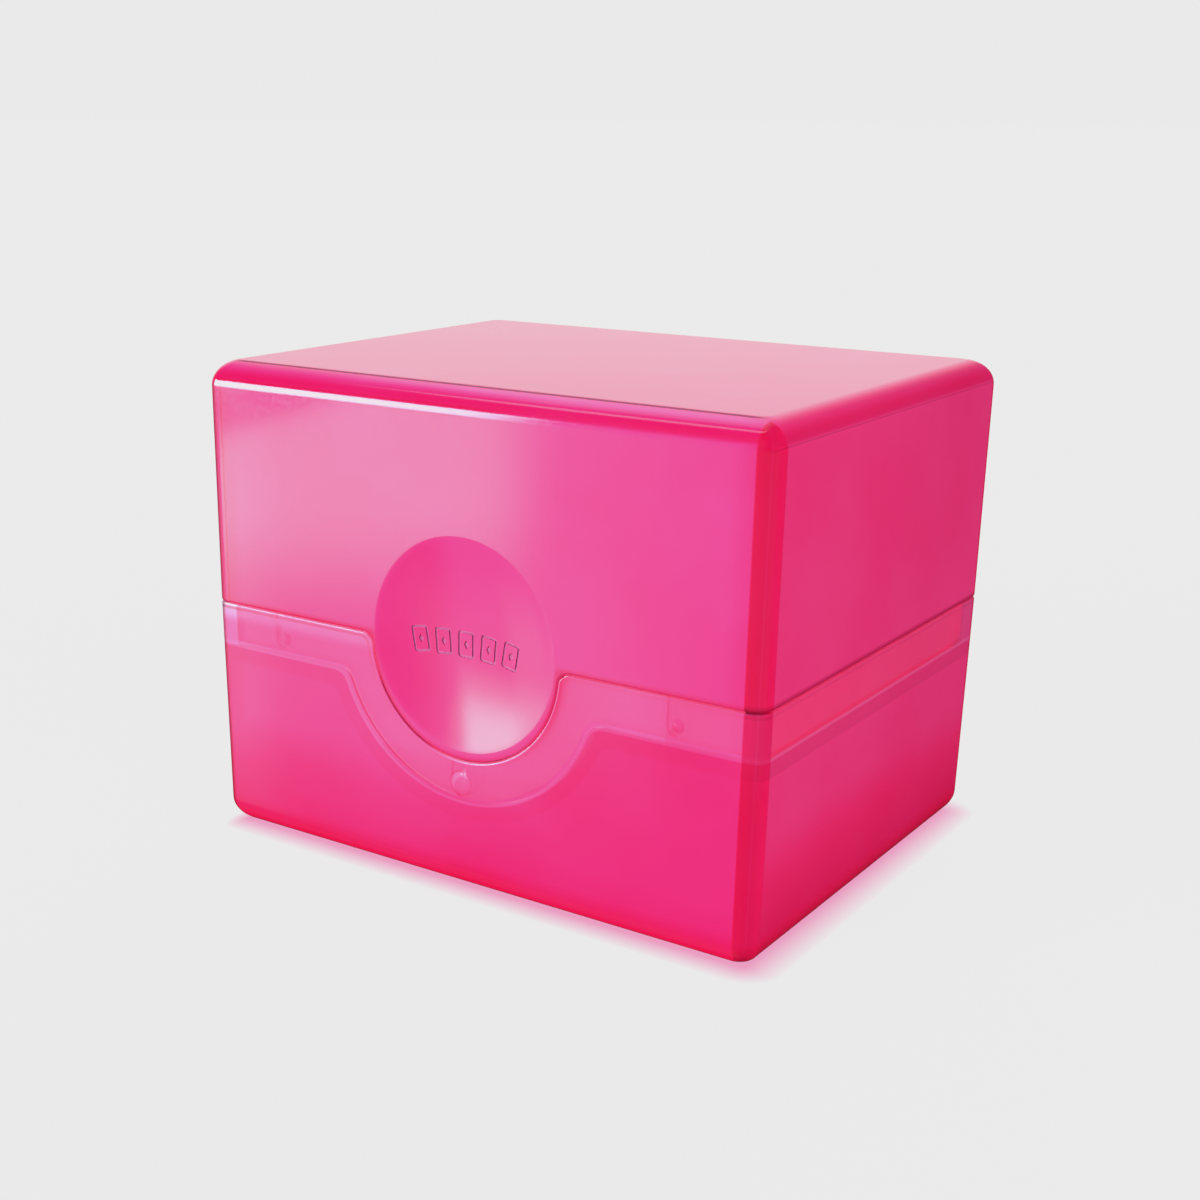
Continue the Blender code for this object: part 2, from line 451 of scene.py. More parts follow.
def on_lid_edge(point):
    """On the lid's outer lower edge, clear of the dish."""
    clear_of_dish = from_dish(point) > DISH_RADIUS + 0.3 * MM
    return on_wall(point) and point.z < PARTING + SEAM and clear_of_dish


def on_lip_edge(point):
    """On the lip's outer lower edge, where it is level or where it dips."""
    on_lip = abs(under_wall(point) + RIM + LAP_GAP) < 0.1 * MM
    below = PARTING - LIP_DROP - point.z
    level = abs(below) < 0.01 * MM
    off_dip = abs(math.hypot(point.x, point.z - PARTING) - LIP_RADIUS)
    return on_lip and (level or (below > 0 and off_dip < 2 * MM))


def on_rim_edge(point):
    """On the rim's outer upper edge, down to the bottom of the notch."""
    return on_wall(point) and point.z > PARTING - NOTCH_RADIUS - 1 * MM


def soften(obj, chosen, width, segments):
    """Rounds the sharp edges whose two ends both pass the test."""
    mesh = bmesh.new()
    mesh.from_mesh(obj.data)
    bmesh.ops.remove_doubles(mesh, verts=mesh.verts, dist=2 * MERGE)
    edges = [
        edge for edge in mesh.edges
        if len(edge.link_faces) == 2
        and edge.calc_face_angle(0) > SHARP
        and chosen(edge.verts[0].co) and chosen(edge.verts[1].co)
    ]
    bmesh.ops.bevel(
        mesh, geom=edges, offset=width, segments=segments, profile=0.5, affect="EDGES",
        clamp_overlap=False, loop_slide=False,
    )
    mesh.to_mesh(obj.data)
    mesh.free()


def smooth(obj):
    """Smooth shading with crisp edges, and no vertex past the front or back of the box by a
    rounding error.
    """
    for vertex in obj.data.vertices:
        vertex.co.y = min(max(vertex.co.y, -HALF_Y), HALF_Y)
    obj.data.shade_smooth()
    obj.data.set_sharp_from_angle(angle=CREASE)
    weighted = obj.modifiers.new("weighted", "WEIGHTED_NORMAL")
    weighted.keep_sharp = True
    weighted.weight = 80


def engrave(lid):
    """Cuts the motif, whose faces take the second material."""
    wall_slot = bpy.data.materials.new("wall")
    engraved_slot = bpy.data.materials.new("engraved")
    lid.data.materials.clear()
    lid.data.materials.append(wall_slot)
    for polygon in lid.data.polygons:
        polygon.material_index = 0
    cutters = motif()
    for cutter in cutters:
        cutter.data.materials.append(engraved_slot)
    combine(lid, "DIFFERENCE", *cutters, material_mode="TRANSFER")


lid = make_lid()
soften(lid, on_lid_edge, LID_EDGE, 4)
soften(lid, on_lip_edge, LIP_EDGE, 3)
engrave(lid)
base = make_base()
soften(base, on_rim_edge, RIM_EDGE, 2)
smooth(base)
smooth(lid)


# ---------------------------------------------------------------- materials


BODY_PINK = (0.96, 0.043, 0.218, 1)
ENGRAVED_PINK = (0.46, 0.075, 0.25, 1)
THROUGH_PINK = (1.0, 0.90, 0.90, 1)
PLASTIC_IOR = 1.5
BASE_GLOSS = 0.5
SHADOW_THROUGH = 0.6  # the share of light that a shell lets on to what it shades


class Nodes:
    """Short forms for building a node tree."""

    def __init__(self, tree):
        self.tree = tree
        tree.nodes.clear()

    def add(self, kind, inputs=(), **settings):
        node = self.tree.nodes.new(kind)
        for name, value in settings.items():
            setattr(node, name, value)
        for key, value in dict(inputs).items():
            socket = node.inputs[key]
            if isinstance(value, bpy.types.NodeSocket):
                self.tree.links.new(value, socket)
            else:
                socket.default_value = value
        return node

    def calc(self, operation, *values):
        return self.add("ShaderNodeMath", dict(enumerate(values)), operation=operation).outputs[0]

    def times(self, *values):
        """The product of all the values."""
        product = values[0]
        for value in values[1:]:
            product = self.calc("MULTIPLY", product, value)
        return product

    def plus(self, value, mask, amount):
        """The value, with an amount added where the mask is one."""
        return self.calc("MULTIPLY_ADD", mask, amount, value)

    def less(self, value, mask, share):
        """The value, cut by a share where the mask is one."""
        return self.times(value, self.plus(1.0, mask, -share))

    def apart(self, mask):
        """One where the mask is zero, and zero where it is one."""
        return self.calc("SUBTRACT", 1.0, mask)

    def length(self, first, second):
        """The straight distance across two distances at right angles."""
        squares = [self.times(side, side) for side in (first, second)]
        return self.calc("SQRT", self.calc("ADD", *squares))

    def fade(self, value, start, end, low=0.0, high=1.0):
        """A smooth step from low at start to high at end."""
        node = self.add("ShaderNodeMapRange", {
            "Value": value, "From Min": start, "From Max": end, "To Min": low, "To Max": high,
        }, interpolation_type="SMOOTHSTEP")
        return node.outputs["Result"]

    def band(self, value, low, high, soft):
        """One between low and high, with soft edges."""
        up = self.fade(value, low - soft, low + soft)
        return self.times(up, self.fade(value, high + soft, high - soft))

    def axes(self, vector):
        return self.add("ShaderNodeSeparateXYZ", {0: vector}).outputs

    def scaled(self, colour, by):
        node = self.add("ShaderNodeVectorMath", {0: colour, "Scale": by}, operation="SCALE")
        return node.outputs[0]

    def deepened(self, colour, depth):
        """A see-through colour after depth times the usual way through the plastic."""
        channels = self.add("ShaderNodeSeparateColor", {0: colour}).outputs
        powered = [self.calc("POWER", channel, depth) for channel in channels]
        return self.add("ShaderNodeCombineColor", dict(enumerate(powered))).outputs[0]

    def noise(self, vector, scale, detail, low, high):
        """A value that drifts between low and high."""
        inputs = {"Vector": vector, "Scale": scale, "Detail": detail}
        cloud = self.add("ShaderNodeTexNoise", inputs).outputs[0]
        return self.fade(cloud, 0.3, 0.7, low, high)

    def mix(self, share, first, second):
        return self.add("ShaderNodeMixShader", {0: share, 1: first, 2: second}).outputs[0]


class BoxPlace:
    """Where a point lies on the box, as sockets. Distances are in millimetres."""

    def __init__(self, nodes):
        self.nodes = nodes
        place = nodes.add("ShaderNodeTexCoord").outputs["Object"]
        self.vector = nodes.scaled(place, 1 / MM)
        self.x, self.y, self.z = nodes.axes(self.vector)
        self.above_parting = nodes.calc("SUBTRACT", self.z, PARTING / MM)
        self.under_top = nodes.calc("SUBTRACT", HEIGHT / MM, self.z)
        lean = nodes.times(nodes.calc("ABSOLUTE", self.above_parting), DRAFT)
        flat_x = nodes.calc("ADD", lean, (CORNER_RADIUS - HALF_X) / MM)
        flat_y = nodes.calc("ADD", lean, (CORNER_RADIUS - HALF_Y) / MM)
        over_x = nodes.calc("ADD", nodes.calc("ABSOLUTE", self.x), flat_x)
        over_y = nodes.calc("ADD", nodes.calc("ABSOLUTE", self.y), flat_y)
        outside = nodes.length(
            nodes.calc("MAXIMUM", over_x, 0.0), nodes.calc("MAXIMUM", over_y, 0.0)
        )
        within = nodes.calc("MINIMUM", nodes.calc("MAXIMUM", over_x, over_y), 0.0)
        # How far under the outer wall, and how far from the nearest upright corner.
        self.inset = nodes.calc("SUBTRACT", CORNER_RADIUS / MM, nodes.calc("ADD", outside, within))
        nearest = nodes.calc("MINIMUM", over_x, over_y)
        self.corner = nodes.calc("SUBTRACT", CORNER_RADIUS / MM, nearest)
        # One on the ends and zero on the front and back, and the other way round.
        self.end = nodes.fade(nodes.calc("SUBTRACT", over_x, over_y), -2.5, 2.5)
        self.front = nodes.apart(self.end)
        # The stripe up each corner, where light has the longest way through the plastic.
        self.near_stripe = nodes.plus(self.corner, self.end, 0.5)
        self.stripe = nodes.fade(self.near_stripe, 3.25, 2.9)
        self.left = nodes.fade(self.x, -41.0, -45.0)
        # One on the outer wall's face, and zero on the lip behind it.
        self.outer_face = nodes.fade(self.inset, 1.0, 0.8)
        self.above_rim = self.above_lap(0.0, NOTCH_RADIUS, NOTCH_FILLET)
        self.above_lip = self.above_lap(LIP_DROP, LIP_RADIUS, LIP_FILLET)

    def from_spot(self, x, z, squeeze=1.0):
        """Distance from a spot on the front wall, with the width counted squeeze times."""
        nodes = self.nodes
        across = nodes.times(nodes.calc("SUBTRACT", self.x, x), squeeze)
        along = nodes.calc("SUBTRACT", self.z, z)
        behind_front = nodes.fade(self.y, -32.0, -30.0, 0.0, 20.0)
        return nodes.calc("ADD", nodes.length(across, along), behind_front)

    def above_lap(self, drop, radius, fillet):
        """Height above a lap line, about right close to it."""
        nodes = self.nodes
        level = nodes.calc("ADD", self.above_parting, drop / MM)
        away = nodes.length(self.x, self.above_parting)
        dip = nodes.calc("SUBTRACT", radius / MM, away)
        return nodes.calc("SMOOTH_MAX", level, dip, fillet / MM)


class Look:
    """How the plastic looks at a point, as values that each feature changes in turn.

    depth is how many times the usual way light goes through the plastic, and it is also
    lowered for painted highlights and raised for painted shade; shade is painted shade, which
    scales the body's colour down; gloss is the strength of its reflections, and clear is the
    share of it that is seen straight through.
    """

    def __init__(self, nodes):
        self.nodes = nodes
        self.depth = 1.0
        self.shade = 1.0
        self.gloss = BASE_GLOSS
        self.clear = 0.0

    def deepen(self, mask, amount):
        self.depth = self.nodes.plus(self.depth, mask, amount)

    def deepen_to(self, mask, amount):
        """At least the usual depth and the amount, where the mask is one."""
        self.depth = self.nodes.calc("MAXIMUM", self.depth, self.nodes.plus(1.0, mask, amount))

    def pale(self, mask, share):
        self.depth = self.nodes.less(self.depth, mask, share)

    # Painted shade: scales the body's colour down where the mask is one.
    def darken(self, mask, share):
        self.shade = self.nodes.less(self.shade, mask, share)

    def dull(self, mask, share):
        self.gloss = self.nodes.less(self.gloss, mask, share)

    def block(self, mask, share):
        self.clear = self.nodes.less(self.clear, mask, share)


def upright_corners(nodes, at, look, piece):
    """Deep stripes up the corners, with painted shade where they face the front. The left ones are
    seen edge on, as painted pale and dark lines.
    """
    look.deepen(nodes.times(nodes.fade(at.near_stripe, 7.0, 3.2), at.front), 0.10)
    stripe = nodes.less(at.stripe, at.left, 1.0)
    look.deepen(stripe, 0.42)
    # A painted highlight: a faint pale line up each corner.
    look.deepen(nodes.band(at.end, 0.27, 0.36, 0.03), -0.14)
    # Painted pale and dark lines on the left corners, for what they reflect edge on.
    lines = nodes.fade(at.end, 0.012, 0.05)
    if piece == "lid":
        lines = nodes.plus(lines, nodes.band(at.near_stripe, 2.95, 3.3, 0.12), 0.8)
        lines = nodes.times(lines, nodes.fade(at.under_top, 2.0, 4.5))
    lines = nodes.times(lines, at.left)
    look.pale(lines, 0.36)
    facing = nodes.apart(nodes.times(at.end, at.end))
    # Painted shade on the front-facing part of the stripes and lines.
    look.darken(nodes.times(stripe, facing), 0.42)
    look.darken(nodes.times(lines, facing), 0.55)
    look.dull(lines, 0.2)
    # Painted shade on the ends, darker towards the back.
    to_the_back = nodes.fade(at.y, -38.0, 38.0)
    look.darken(nodes.times(at.end, to_the_back), 0.07)


def base_body(nodes, at, look):
    """Painted shade: the base deepens to the right and down to its foot, and its ends darken
    towards the foot.
    """
    lower = nodes.fade(at.z, 22.0, 10.0, 0.0, 0.25)
    right = nodes.times(nodes.fade(at.x, 0.0, 22.0, 0.0, 0.25), at.front)
    foot_start = nodes.fade(at.z, 10.0, 6.0, 0.0, 0.08)
    foot = nodes.calc("ADD", foot_start, nodes.fade(at.z, 6.0, 2.5, 0.0, 0.32))
    look.deepen_to(nodes.calc("ADD", nodes.calc("MAXIMUM", lower, right), foot), 1.0)
    look.darken(nodes.times(at.end, nodes.fade(at.z, 16.0, 2.0)), 0.12)


def base_lap(nodes, at, look, lap, gap):
    """The rim is thin over the lip, which shows through it, with a painted highlight along the
    lip's lower edge, painted shade below it and on the ends, and a painted reflection up the left
    corner.
    """
    thin = nodes.less(nodes.fade(at.x, 8.0, 28.0, 0.16, 0.26), at.end, 0.7)
    near_rim = nodes.fade(at.above_parting, -3.4, -1.3)
    thin = nodes.plus(thin, nodes.times(near_rim, nodes.fade(at.x, -12.0, -20.0)), 0.30)
    right = nodes.times(nodes.fade(at.x, 18.0, 30.0), nodes.fade(at.x, 35.3, 34.5))
    thin = nodes.plus(thin, right, 0.12)
    thin = nodes.plus(thin, nodes.fade(at.above_parting, -16.5, -19.0), -0.12)
    look.deepen(nodes.times(thin, lap), -1.0)
    # A painted reflection: a pale stripe up the band's left corner.
    corner_block = nodes.fade(at.corner, 4.7, 4.2, 0.0, 0.07)
    corner_reflection = nodes.fade(at.corner, 11.0, 4.5, 0.0, 0.13)
    pale = nodes.calc("ADD", corner_block, corner_reflection)
    look.deepen(nodes.times(pale, at.left, lap), -1.0)
    # A painted highlight along the lip's lower edge.
    look.deepen(nodes.band(at.above_lip, 0.05, 0.62, 0.12), -0.27)
    beyond = nodes.times(nodes.band(at.above_lip, 0.62, 1.15, 0.1), at.front)
    look.deepen(beyond, -0.05)
    # Painted shade in the gap below the lip.
    below = nodes.times(gap, nodes.apart(lap), nodes.fade(at.end, 0.0, 1.0, 0.4, 1.0))
    look.darken(below, 0.10)
    # Painted shade on the band's ends.
    side = nodes.times(lap, at.end)
    look.deepen(side, -0.04)
    look.darken(side, 0.10)
    # The lip is seen through the rim, less so at the corners, and the ledge faintly.
    look.clear = nodes.plus(nodes.times(lap, 0.42), gap, 0.08)
    look.block(at.stripe, 1.0)
    look.block(beyond, 0.8)
    look.block(nodes.times(nodes.fade(at.corner, 4.9, 4.4), at.left), 1.0)
    look.block(nodes.times(nodes.fade(at.corner, 8.5, 5.5), nodes.fade(at.y, 20.0, 24.0)), 1.0)
    look.block(at.end, 0.25)


def rim_edge(nodes, at, look):
    """The rim's top edge has a painted highlight to the left and in the notch, over a painted dark
    line, with painted shade to the right and in the notch's left seam.
    """
    rim = at.above_rim
    # A painted highlight on the rim's top edge, strongest to the left and in the notch.
    level = nodes.fade(at.x, -16.0, -19.0, 0.15, 0.38)
    notch = nodes.times(nodes.fade(at.x, -9.0, 0.0), nodes.fade(at.x, 19.5, 17.5, 0.15, 0.85))
    lit = nodes.times(nodes.calc("MAXIMUM", level, notch), at.front)
    bright = nodes.times(nodes.fade(rim, -0.32, -0.20), lit)
    look.deepen(bright, -0.50)
    look.block(bright, 0.6)
    # Painted shade on the edge to the right.
    right = nodes.times(nodes.fade(rim, -0.34, -0.24), nodes.fade(at.x, 17.5, 20.0), at.front)
    look.deepen(right, -0.15)
    look.darken(right, 0.25)
    # Painted shade in the seam on the notch's left side.
    notch_left = nodes.times(nodes.fade(at.x, -3.0, -8.0), nodes.fade(at.x, -17.0, -15.0))
    seam = nodes.times(nodes.fade(rim, -0.24, -0.12), notch_left, at.front)
    look.darken(seam, 0.18)
    look.block(seam, 1.0)
    # A painted dark line just under the edge.
    strength = nodes.fade(level, 0.15, 0.45, 0.12, 0.55)
    look.darken(nodes.times(nodes.band(rim, -0.85, -0.45, 0.08), strength), 1.0)


def painted_snap_bumps(nodes, at, look):
    """The snap bumps press against the rim, and their shading seen through it is painted on the
    rim: a paler middle, a darker ring and a painted highlight crescent for the middle one, and
    painted shade by the side ones. The marks stay on the base when the lid is off.
    """
    middle = at.from_spot(-0.3, 17.7)
    # Painted shading of the middle bump: a paler middle and a darker ring.
    look.deepen(nodes.fade(middle, 1.6, 0.9), -0.12)
    look.deepen(nodes.band(middle, 1.8, 2.15, 0.12), 0.20)
    # A painted highlight crescent on the bump's upper left.
    off_centre = nodes.fade(at.from_spot(0.15, 17.2), 1.3, 1.9)
    highlight_crescent = nodes.times(nodes.fade(middle, 1.9, 1.6), off_centre)
    look.deepen(highlight_crescent, -0.40)
    # Painted shade by the side bumps.
    look.deepen(nodes.fade(at.from_spot(36.2, 33.6), 1.0, 0.4), 0.22)
    look.deepen(nodes.fade(at.from_spot(-36.0, 35.3, squeeze=3.0), 1.9, 0.6), 0.16)


def crown(nodes, at, look):
    """The rounding round the top, deep in its middle, with a painted dark line where the top
    begins, a painted sheen on its front and painted shade on its ends.
    """
    under_top = at.under_top
    ring = nodes.times(nodes.fade(under_top, 0.5, 2.1), nodes.fade(under_top, 3.35, 2.55))
    look.deepen_to(nodes.less(ring, at.end, 0.55), 0.52)
    # Painted shade on the ends' rounding, with its reflection dulled.
    cap = nodes.times(nodes.fade(under_top, 0.03, 0.5), nodes.fade(under_top, 3.4, 2.9), at.end)
    look.darken(cap, 0.15)
    look.dull(cap, 0.45)
    # A painted sheen on the front of the rounding.
    painted_sheen = nodes.times(nodes.band(under_top, 0.16, 0.65, 0.45), nodes.fade(under_top, 0.04, 0.12))
    look.deepen(nodes.times(painted_sheen, nodes.fade(at.x, -35.0, 5.0), at.front), -0.34)
    # A painted dark line where the top begins, with its reflection dulled.
    tangent = nodes.times(nodes.band(under_top, 0.03, 0.18, 0.012), at.front)
    look.pale(tangent, 0.35)
    look.darken(tangent, 0.70)
    look.dull(tangent, 0.93)


def crown_foot(nodes, at, look):
    """Thin painted dark lines, by the glare on the top rounding and where it runs out onto the
    walls.
    """
    by_glare = nodes.times(nodes.band(at.under_top, 2.62, 2.86, 0.12), nodes.fade(at.x, 12.0, 0.0))
    look.darken(nodes.times(by_glare, at.front), 0.45)
    foot = nodes.plus(TOP_ROUND / MM, at.end, -0.65)
    line = nodes.band(nodes.calc("SUBTRACT", at.under_top, foot), -0.02, 0.14, 0.04)
    seen = nodes.calc("MAXIMUM", at.end, nodes.fade(at.x, 8.0, -4.0))
    look.darken(nodes.times(line, seen), 0.25)


def thumb_dish(nodes, at, look):
    """The dish is deeper to the left, and its lower middle, which faces the softbox, gets a
    painted stronger reflection.
    """
    dish_z = nodes.calc("SUBTRACT", at.above_parting, DISH_RISE / MM)
    within = nodes.fade(nodes.length(at.x, dish_z), 17.2, 15.4)
    bowl = nodes.times(within, nodes.fade(at.inset, 1.3, 1.25))
    look.deepen(nodes.times(bowl, nodes.fade(at.x, 0.0, -8.0)), 0.16)
    # A painted reflection: stronger gloss on the lower middle of the dish.
    lower = nodes.times(bowl, nodes.fade(dish_z, -5.5, -12.5))
    middle = nodes.times(nodes.fade(at.x, 13.0, 8.0), nodes.fade(at.x, -4.2, -1.6))
    look.gloss = nodes.plus(look.gloss, nodes.times(lower, middle), 0.62)


def lid_parting(nodes, at, look):
    """The lid's lower edge, deeper to the left, with painted shade for the shadow of the seam, and
    a painted dark line along the seam in the notch.
    """
    low = nodes.times(nodes.fade(at.above_rim, 1.2, 0.15), at.outer_face)
    across = nodes.fade(at.x, 0.0, 16.0, 0.36, -0.12)
    deep = nodes.calc("MAXIMUM", across, nodes.times(at.end, 0.25))
    look.deepen(low, nodes.less(deep, at.left, 0.8))
    # Painted shade along the lower edge.
    dim = nodes.calc("MAXIMUM", at.end, nodes.fade(at.x, 10.0, 19.0, 0.4, 1.0))
    look.darken(nodes.times(low, dim), 0.46)
    # A painted dark line along the seam in the notch.
    in_notch = nodes.times(nodes.fade(at.x, 16.0, 6.0), nodes.fade(at.above_parting, -1.0, -3.0))
    seam = nodes.times(nodes.fade(at.above_rim, 0.55, 0.25), at.outer_face, in_notch)
    look.deepen(seam, nodes.fade(at.x, -10.0, 2.0, 0.05, -0.35))
    look.darken(seam, 0.58)


def lid_lip(nodes, at, look):
    """The lip is paler than the wall, with painted highlights along its lower edge and on its
    bumps.
    """
    below_parting = nodes.fade(at.above_parting, 0.4, 0.1)
    face = nodes.times(nodes.band(at.inset, 1.40, 2.0, 0.05), below_parting)
    look.deepen(nodes.less(face, at.end, 0.35), -0.44)
    # A painted highlight along the lip's lower edge.
    edge = nodes.times(nodes.fade(at.above_lip, 0.50, 0.28), nodes.fade(at.inset, 1.3, 1.4))
    look.deepen(edge, -0.30)
    # Painted highlights on the snap bumps.
    bumps = nodes.times(nodes.fade(at.inset, 1.46, 1.30), nodes.fade(at.above_rim, -0.2, -0.5))
    bumps = nodes.less(bumps, at.outer_face, 1.0)
    look.deepen(bumps, nodes.fade(at.above_parting, -6.0, -8.0, -0.30, -0.46))


def plastic(name, piece):
    """Pink plastic for the base or the lid.

    Its colour deepens, as in a see-through body, in the corners and roundings, and it carries
    painted shade, painted highlights and painted dark lines, laid on by position.
    """
    material = bpy.data.materials.new(name)
    material.use_nodes = True
    nodes = Nodes(material.node_tree)
    at = BoxPlace(nodes)
    look = Look(nodes)
    shadow = nodes.add("ShaderNodeLightPath").outputs["Is Shadow Ray"]
    share = nodes.times(shadow, SHADOW_THROUGH)
    upright_corners(nodes, at, look, piece)
    if piece == "base":
        lap = nodes.fade(at.above_lip, 0.3, 0.7)
        gap = nodes.fade(at.above_lap(LEDGE_DROP, LEDGE_RADIUS, LIP_FILLET), -0.2, 0.2)
        base_body(nodes, at, look)
        base_lap(nodes, at, look, lap, gap)
        rim_edge(nodes, at, look)
        painted_snap_bumps(nodes, at, look)
        # The back of the thin rim doesn't stand in the way of the lip behind it.
        behind = nodes.add("ShaderNodeNewGeometry").outputs["Backfacing"]
        inside = nodes.times(nodes.calc("MAXIMUM", shadow, behind), gap)
        share = nodes.calc("MAXIMUM", share, nodes.calc("MAXIMUM", look.clear, inside))
    else:
        crown(nodes, at, look)
        thumb_dish(nodes, at, look)
        crown_foot(nodes, at, look)
        lid_parting(nodes, at, look)
        lid_lip(nodes, at, look)
    depth = nodes.times(look.depth, nodes.noise(at.vector, 0.045, 3.0, 0.96, 1.04))
    body = nodes.add("ShaderNodeBsdfPrincipled", {
        "Base Color": nodes.scaled(nodes.deepened(BODY_PINK, depth), look.shade),
        "Roughness": nodes.noise(at.vector, 1.6, 4.0, 0.05, 0.10),
        "IOR": PLASTIC_IOR,
        "Specular IOR Level": look.gloss,
    })
    through = nodes.add("ShaderNodeBsdfTransparent", {0: THROUGH_PINK})
    surface = nodes.mix(share, body.outputs[0], through.outputs[0])
    nodes.add("ShaderNodeOutputMaterial", {"Surface": surface})
    return material


def engraved_plastic():
    """The rough, darker bottom of the engraved lines."""
    material = bpy.data.materials.new("pink_engraved")
    material.use_nodes = True
    nodes = Nodes(material.node_tree)
    place = nodes.add("ShaderNodeTexCoord").outputs["Object"]
    depth = nodes.noise(place, 3.0 / MM, 4.0, 0.9, 1.1)
    rough = nodes.noise(place, 3.0 / MM, 4.0, 0.35, 0.5)
    colour = nodes.deepened(ENGRAVED_PINK, depth)
    body = nodes.add("ShaderNodeBsdfPrincipled", {"Base Color": colour, "Roughness": rough})
    nodes.add("ShaderNodeOutputMaterial", {"Surface": body.outputs[0]})
    return material


base.data.materials.clear()
base.data.materials.append(plastic("pink_base", "base"))
lid.data.materials[0] = plastic("pink_lid", "lid")
lid.data.materials[1] = engraved_plastic()
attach(base, "base")
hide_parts("base")
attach(lid, "lid")
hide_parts("lid")


# ---------------------------------------------------------------- stage


BACKDROP = 0.83
AMBIENT = 0.015
LAMP_TINT = (1.0, 0.98, 0.82)
GLARE_TINT = (1.0, 0.97, 1.05)

FLOOR_HALF = 30  # metres
FLOOR_DROP = 0.02 * MM
FLOOR_MATT = 0.04
FLOOR_GLOW = 0.788
# A pink glow painted on the table around the foot, and how far it reaches.
PAINTED_FOOT_GLOW = (1.0, 0.42, 0.66, 1)
FOOT_INSET = 3 * MM  # the glow is measured from inside the rounded foot
GLOW_NEAR = 1.0 * MM
GLOW_FAR = 6.4 * MM

# Name, direction towards it, strength and spread in degrees.
SUNS = (
    ("front_left_sun", (-0.35, -0.85, 0.30), 1.16, 50),
    ("right_sun", (0.90, -0.20, 0.35), 0.48, 50),
    ("back_sun", (-0.20, 0.85, 0.45), 0.57, 50),
    ("top_sun", (0.0, 0.1, 1.0), 0.44, 70),
)

CAMERA_AT = (0.1465, -0.2350, 0.1131)
CAMERA_TURN = math.radians(34.88)
CAMERA_RISE = math.radians(19.50)
CAMERA_ROLL = math.radians(0.31)
CAMERA_LENS = 52.15
CAMERA_SHIFT = (0.0716, 0.1084)

# Scene light, and what it is shown as: straight up to the backdrop, then held back.
TONE = ((BACKDROP, BACKDROP), (1.0, 0.848), (1.5, 0.862))
TONE_END = (6.0, 0.93)


def make_floor():
    """A pale table, with a pink glow painted just around the foot for the light that comes through
    the plastic.
    """
    mesh = bmesh.new()
    bmesh.ops.create_grid(mesh, x_segments=1, y_segments=1, size=FLOOR_HALF)
    floor = new_object("floor", mesh)
    floor.location.z = -FLOOR_DROP
    material = bpy.data.materials.new("pale_floor")
    material.use_nodes = True
    nodes = Nodes(material.node_tree)
    x, y, _ = nodes.axes(nodes.add("ShaderNodeTexCoord").outputs["Object"])
    over_x = nodes.calc("SUBTRACT", nodes.calc("ABSOLUTE", x), HALF_X - FOOT_INSET)
    over_y = nodes.calc("SUBTRACT", nodes.calc("ABSOLUTE", y), HALF_Y - FOOT_INSET)
    out_x = nodes.times(nodes.calc("MAXIMUM", over_x, 0.0), nodes.fade(x, -0.02, -0.05, 1.0, 2.0))
    out_y = nodes.times(nodes.calc("MAXIMUM", over_y, 0.0), nodes.fade(y, -0.02, -0.04, 1.0, 1.14))
    reach = {"Value": nodes.length(out_x, out_y), "From Min": GLOW_FAR, "From Max": GLOW_NEAR}
    near = nodes.add("ShaderNodeMapRange", reach).outputs[0]
    tint = nodes.add("ShaderNodeMix", {0: near, 6: (1, 1, 1, 1), 7: PAINTED_FOOT_GLOW}, data_type="RGBA")
    colour = tint.outputs[2]
    matt = nodes.add("ShaderNodeBsdfDiffuse", {"Color": nodes.scaled(colour, FLOOR_MATT)})
    glow = nodes.add("ShaderNodeEmission", {"Color": colour, "Strength": FLOOR_GLOW})
    both = nodes.add("ShaderNodeAddShader", {0: matt.outputs[0], 1: glow.outputs[0]})
    nodes.add("ShaderNodeOutputMaterial", {"Surface": both.outputs[0]})
    floor.data.materials.append(material)
    floor.visible_glossy = False


def add_sun(name, towards, strength, spread):
    light = bpy.data.lights.new(name, "SUN")
    light.energy = strength * math.pi
    light.angle = math.radians(spread)
    obj = bpy.data.objects.new(name, light)
    obj.rotation_euler = Vector(towards).to_track_quat("Z", "Y").to_euler()
    obj.visible_glossy = False
    bpy.context.scene.collection.objects.link(obj)


class Sky:
    """A direction in the world: how far it rises, and turns from the front, in degrees."""

    def __init__(self, nodes):
        direction = nodes.add("ShaderNodeTexCoord").outputs["Generated"]
        self.x, self.y, z = nodes.axes(direction)
        self.rise = nodes.calc("DEGREES", nodes.calc("ARCSINE", z))
        self.turn = nodes.calc("DEGREES", nodes.calc("ARCTAN2", self.x, nodes.times(self.y, -1.0)))


def backdrop(nodes, to):
    """The pale backdrop, behind the box and to the left, and a panel of it overhead."""
    behind = nodes.times(nodes.fade(to.y, -0.05, 0.55), nodes.fade(to.x, 0.12, -0.40))
    across = nodes.times(nodes.fade(to.x, -0.64, -0.52), nodes.fade(to.x, 0.1, -0.2))
    panel = nodes.times(nodes.fade(to.y, -0.16, -0.08), across, nodes.fade(to.rise, 50.0, 56.0))
    lit = nodes.calc("MAXIMUM", behind, panel)
    return nodes.times(lit, nodes.fade(to.rise, -3.0, 2.0, 0.0, BACKDROP))


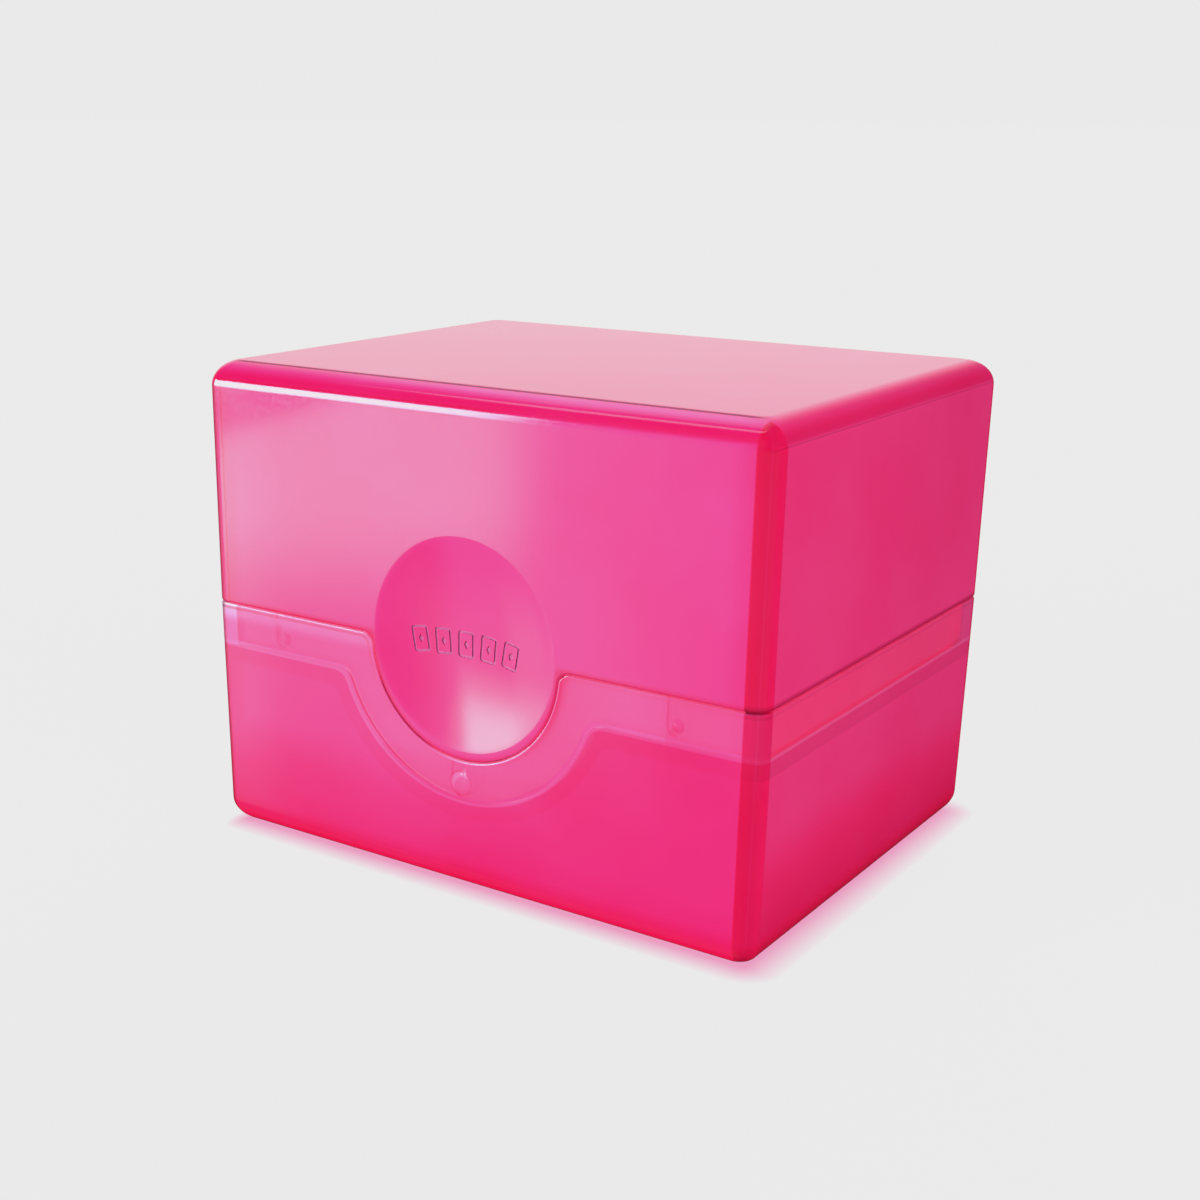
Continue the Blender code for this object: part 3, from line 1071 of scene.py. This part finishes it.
def softbox(nodes, to):
    """The softbox to the front left: its lower part, and its brighter, wider top."""
    low = nodes.fade(to.rise, -16.5, -11.5, 0.0, 3.6)
    slant = nodes.plus(to.rise, to.turn, -0.29)
    cut = nodes.times(nodes.fade(slant, 3.15, 3.75), nodes.fade(to.turn, -39.5, -41.0))
    low = nodes.times(nodes.less(low, cut, 1.0), nodes.fade(to.rise, 4.0, 0.0))
    low = nodes.times(low, nodes.band(to.turn, -49.0, -34.8, 1.4))
    first = nodes.fade(to.rise, -8.0, -6.5, 0.0, 8.0)
    high = nodes.calc("ADD", first, nodes.fade(to.rise, -6.5, -2.0, 0.0, 8.0))
    high = nodes.times(high, nodes.fade(to.rise, 14.0, 12.5))
    high = nodes.times(high, nodes.band(to.turn, -70.0, -34.8, 1.4))
    return nodes.calc("SUBTRACT", nodes.calc("MAXIMUM", low, high), high), high


def light_strip(nodes, to):
    """A narrow, slanting strip over the softbox."""
    slant = nodes.plus(to.turn, to.rise, -1.09)
    strip = nodes.fade(to.rise, 45.5, 48.5, 0.0, 2.7)
    strip = nodes.times(strip, nodes.band(slant, -119.0, -105.0, 2.5))
    return nodes.times(strip, nodes.fade(to.y, 0.1, 0.0))


def table_front(nodes, to):
    """The table in front of the box."""
    table = nodes.times(nodes.fade(to.rise, 2.0, -3.0), nodes.fade(to.y, 0.1, -0.2))
    table = nodes.times(table, nodes.fade(to.rise, -25.0, -17.0, 0.1, 0.8))
    left = nodes.fade(to.turn, -26.0, -33.0, 0.2, 1.0)
    return nodes.times(table, nodes.calc("ADD", left, nodes.band(to.turn, -49.0, -43.5, 0.7)))


def make_world():
    """A studio for the reflections only. The camera sees a plain backdrop."""
    world = bpy.data.worlds.new("studio")
    world.use_nodes = True
    bpy.context.scene.world = world
    nodes = Nodes(world.node_tree)
    to = Sky(nodes)
    low, high = softbox(nodes, to)
    lamps = nodes.calc("ADD", low, table_front(nodes, to))
    glare = nodes.calc("ADD", high, light_strip(nodes, to))
    parts = (
        nodes.scaled(LAMP_TINT, lamps),
        nodes.scaled(GLARE_TINT, glare),
        nodes.scaled((1, 1, 1), backdrop(nodes, to)),
    )
    total = (AMBIENT,) * 3
    for part in parts:
        total = nodes.add("ShaderNodeVectorMath", {0: part, 1: total}).outputs[0]
    camera = nodes.add("ShaderNodeLightPath").outputs["Is Camera Ray"]
    plain = nodes.add("ShaderNodeBackground", {"Color": (BACKDROP,) * 3 + (1,)})
    studio = nodes.add("ShaderNodeBackground", {"Color": total})
    shown = nodes.mix(camera, studio.outputs[0], plain.outputs[0])
    nodes.add("ShaderNodeOutputWorld", {"Surface": shown})
    world.cycles_visibility.diffuse = False


def make_camera():
    data = bpy.data.cameras.new("camera")
    data.lens = CAMERA_LENS
    data.sensor_width = 36
    data.shift_x, data.shift_y = CAMERA_SHIFT
    data.clip_start = 0.01
    data.clip_end = 100
    camera = bpy.data.objects.new("camera", data)
    camera.location = CAMERA_AT
    turn = Matrix.Rotation(CAMERA_TURN, 4, "Z")
    tip = Matrix.Rotation(math.pi / 2 - CAMERA_RISE, 4, "X")
    roll = Matrix.Rotation(CAMERA_ROLL, 4, "Z")
    camera.rotation_euler = (turn @ tip @ roll).to_euler()
    bpy.context.scene.collection.objects.link(camera)
    bpy.context.scene.camera = camera


def set_tone():
    """Plain display colours, with a soft shoulder that holds bright channels back."""
    view = bpy.context.scene.view_settings
    view.view_transform = "Standard"
    view.use_curve_mapping = True
    mapping = view.curve_mapping
    mapping.use_clip = False
    curve = mapping.curves[3]
    curve.points[1].location = TONE_END
    for light, shown in TONE:
        curve.points.new(light, shown)
    for point in curve.points:
        point.handle_type = "VECTOR"
    mapping.update()


make_floor()
for sun in SUNS:
    add_sun(*sun)
make_world()
make_camera()
set_tone()
